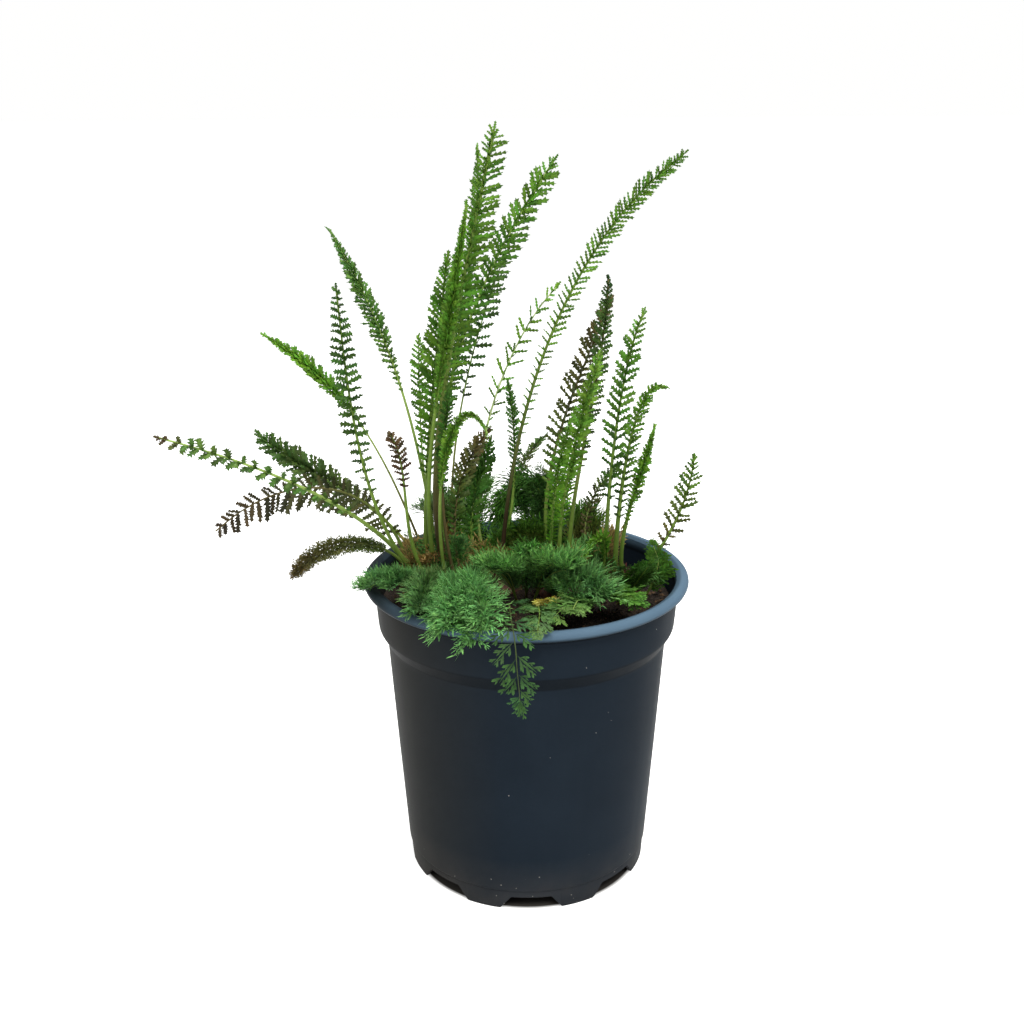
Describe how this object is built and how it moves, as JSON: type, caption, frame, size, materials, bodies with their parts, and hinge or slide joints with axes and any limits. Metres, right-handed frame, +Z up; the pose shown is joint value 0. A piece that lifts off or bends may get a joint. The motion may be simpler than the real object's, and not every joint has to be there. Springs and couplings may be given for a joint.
{
  "type": "yarrow plant",
  "caption": "Potted yarrow: feathery, finely divided leaves rise in a loose clump from woody crowns in a charcoal plastic nursery pot with a rolled rim",
  "frame": {"origin": "middle of the pot's base, on the ground it stands on", "axes": "+Z up along the pot's axis; the pictured side faces -Y; +X to the right of that view"},
  "size_m": [0.264, 0.1884, 0.3741],
  "materials": {
    "pot_plastic": "matte charcoal injection-moulded plastic",
    "compost": "dark crumbly bark and peat",
    "crown": "reddish-brown woody stock",
    "leaf_green": "soft matte leaf",
    "leaf_deep_green": "soft matte leaf",
    "leaf_bright_green": "soft matte leaf",
    "leaf_browned": "dull browned leaf",
    "leaf_yellowed": "yellowed leaf"
  },
  "bodies": {
    "root": {"nursery_pot": "pot_plastic", "compost": "compost", "crown_left": "crown", "crown_middle": "crown", "crown_centre_right": "crown", "crown_right": "crown", "leaf_far_left": "leaf_green", "leaf_left_feather": "leaf_green", "leaf_left_comb": "leaf_browned", "leaf_left_inner_tall": "leaf_deep_green", "leaf_left_low_brush": "leaf_browned", "leaf_left_thin": "leaf_green", "leaf_upper_left": "leaf_green", "leaf_pale_small": "leaf_green", "leaf_dark_tip_short": "leaf_browned", "leaf_broad_feather": "leaf_deep_green", "leaf_tallest": "leaf_green", "leaf_tall_slim": "leaf_green", "leaf_tall_spindle": "leaf_bright_green", "leaf_right_curve": "leaf_green", "leaf_thin_brown": "leaf_browned", "leaf_dark_inner": "leaf_deep_green", "leaf_bright_arch": "leaf_bright_green", "leaf_dark_arch": "leaf_browned", "leaf_fan_dark": "leaf_deep_green", "leaf_pale_long": "leaf_green", "leaf_tall_right": "leaf_green", "leaf_mid_dark": "leaf_deep_green", "leaf_mid_brown": "leaf_browned", "leaf_top_brown": "leaf_browned", "leaf_tall_brown": "leaf_browned", "leaf_bright_dense": "leaf_bright_green", "leaf_bright_low": "leaf_bright_green", "leaf_right_tall": "leaf_green", "leaf_right_hook": "leaf_bright_green", "leaf_right_spindle": "leaf_bright_green", "leaf_right_side_twig": "leaf_browned", "leaf_far_right": "leaf_green", "leaf_rim_centre": "leaf_green", "leaf_rim_mid": "leaf_green", "leaf_rim_left": "leaf_green", "leaf_rim_far_left": "leaf_green", "leaf_hanging": "leaf_green", "leaf_rim_small": "leaf_bright_green", "leaf_mid_fan_up": "leaf_bright_green", "leaf_mid_fan_right": "leaf_bright_green", "leaf_mid_fan_left": "leaf_bright_green", "leaf_brown_fan": "leaf_browned", "leaf_yellow": "leaf_yellowed", "leaf_dome": "leaf_green", "leaf_front_lobed": "leaf_bright_green", "leaf_front_right": "leaf_green", "leaf_arch_back": "leaf_deep_green", "leaf_arch_small": "leaf_green", "leaf_right_inner": "leaf_bright_green", "leaf_right_low": "leaf_green", "leaf_back_left": "leaf_green", "leaf_back_far_left": "leaf_green", "leaf_back_right": "leaf_browned", "leaf_back_centre": "leaf_green"}
  },
  "joints": []
}
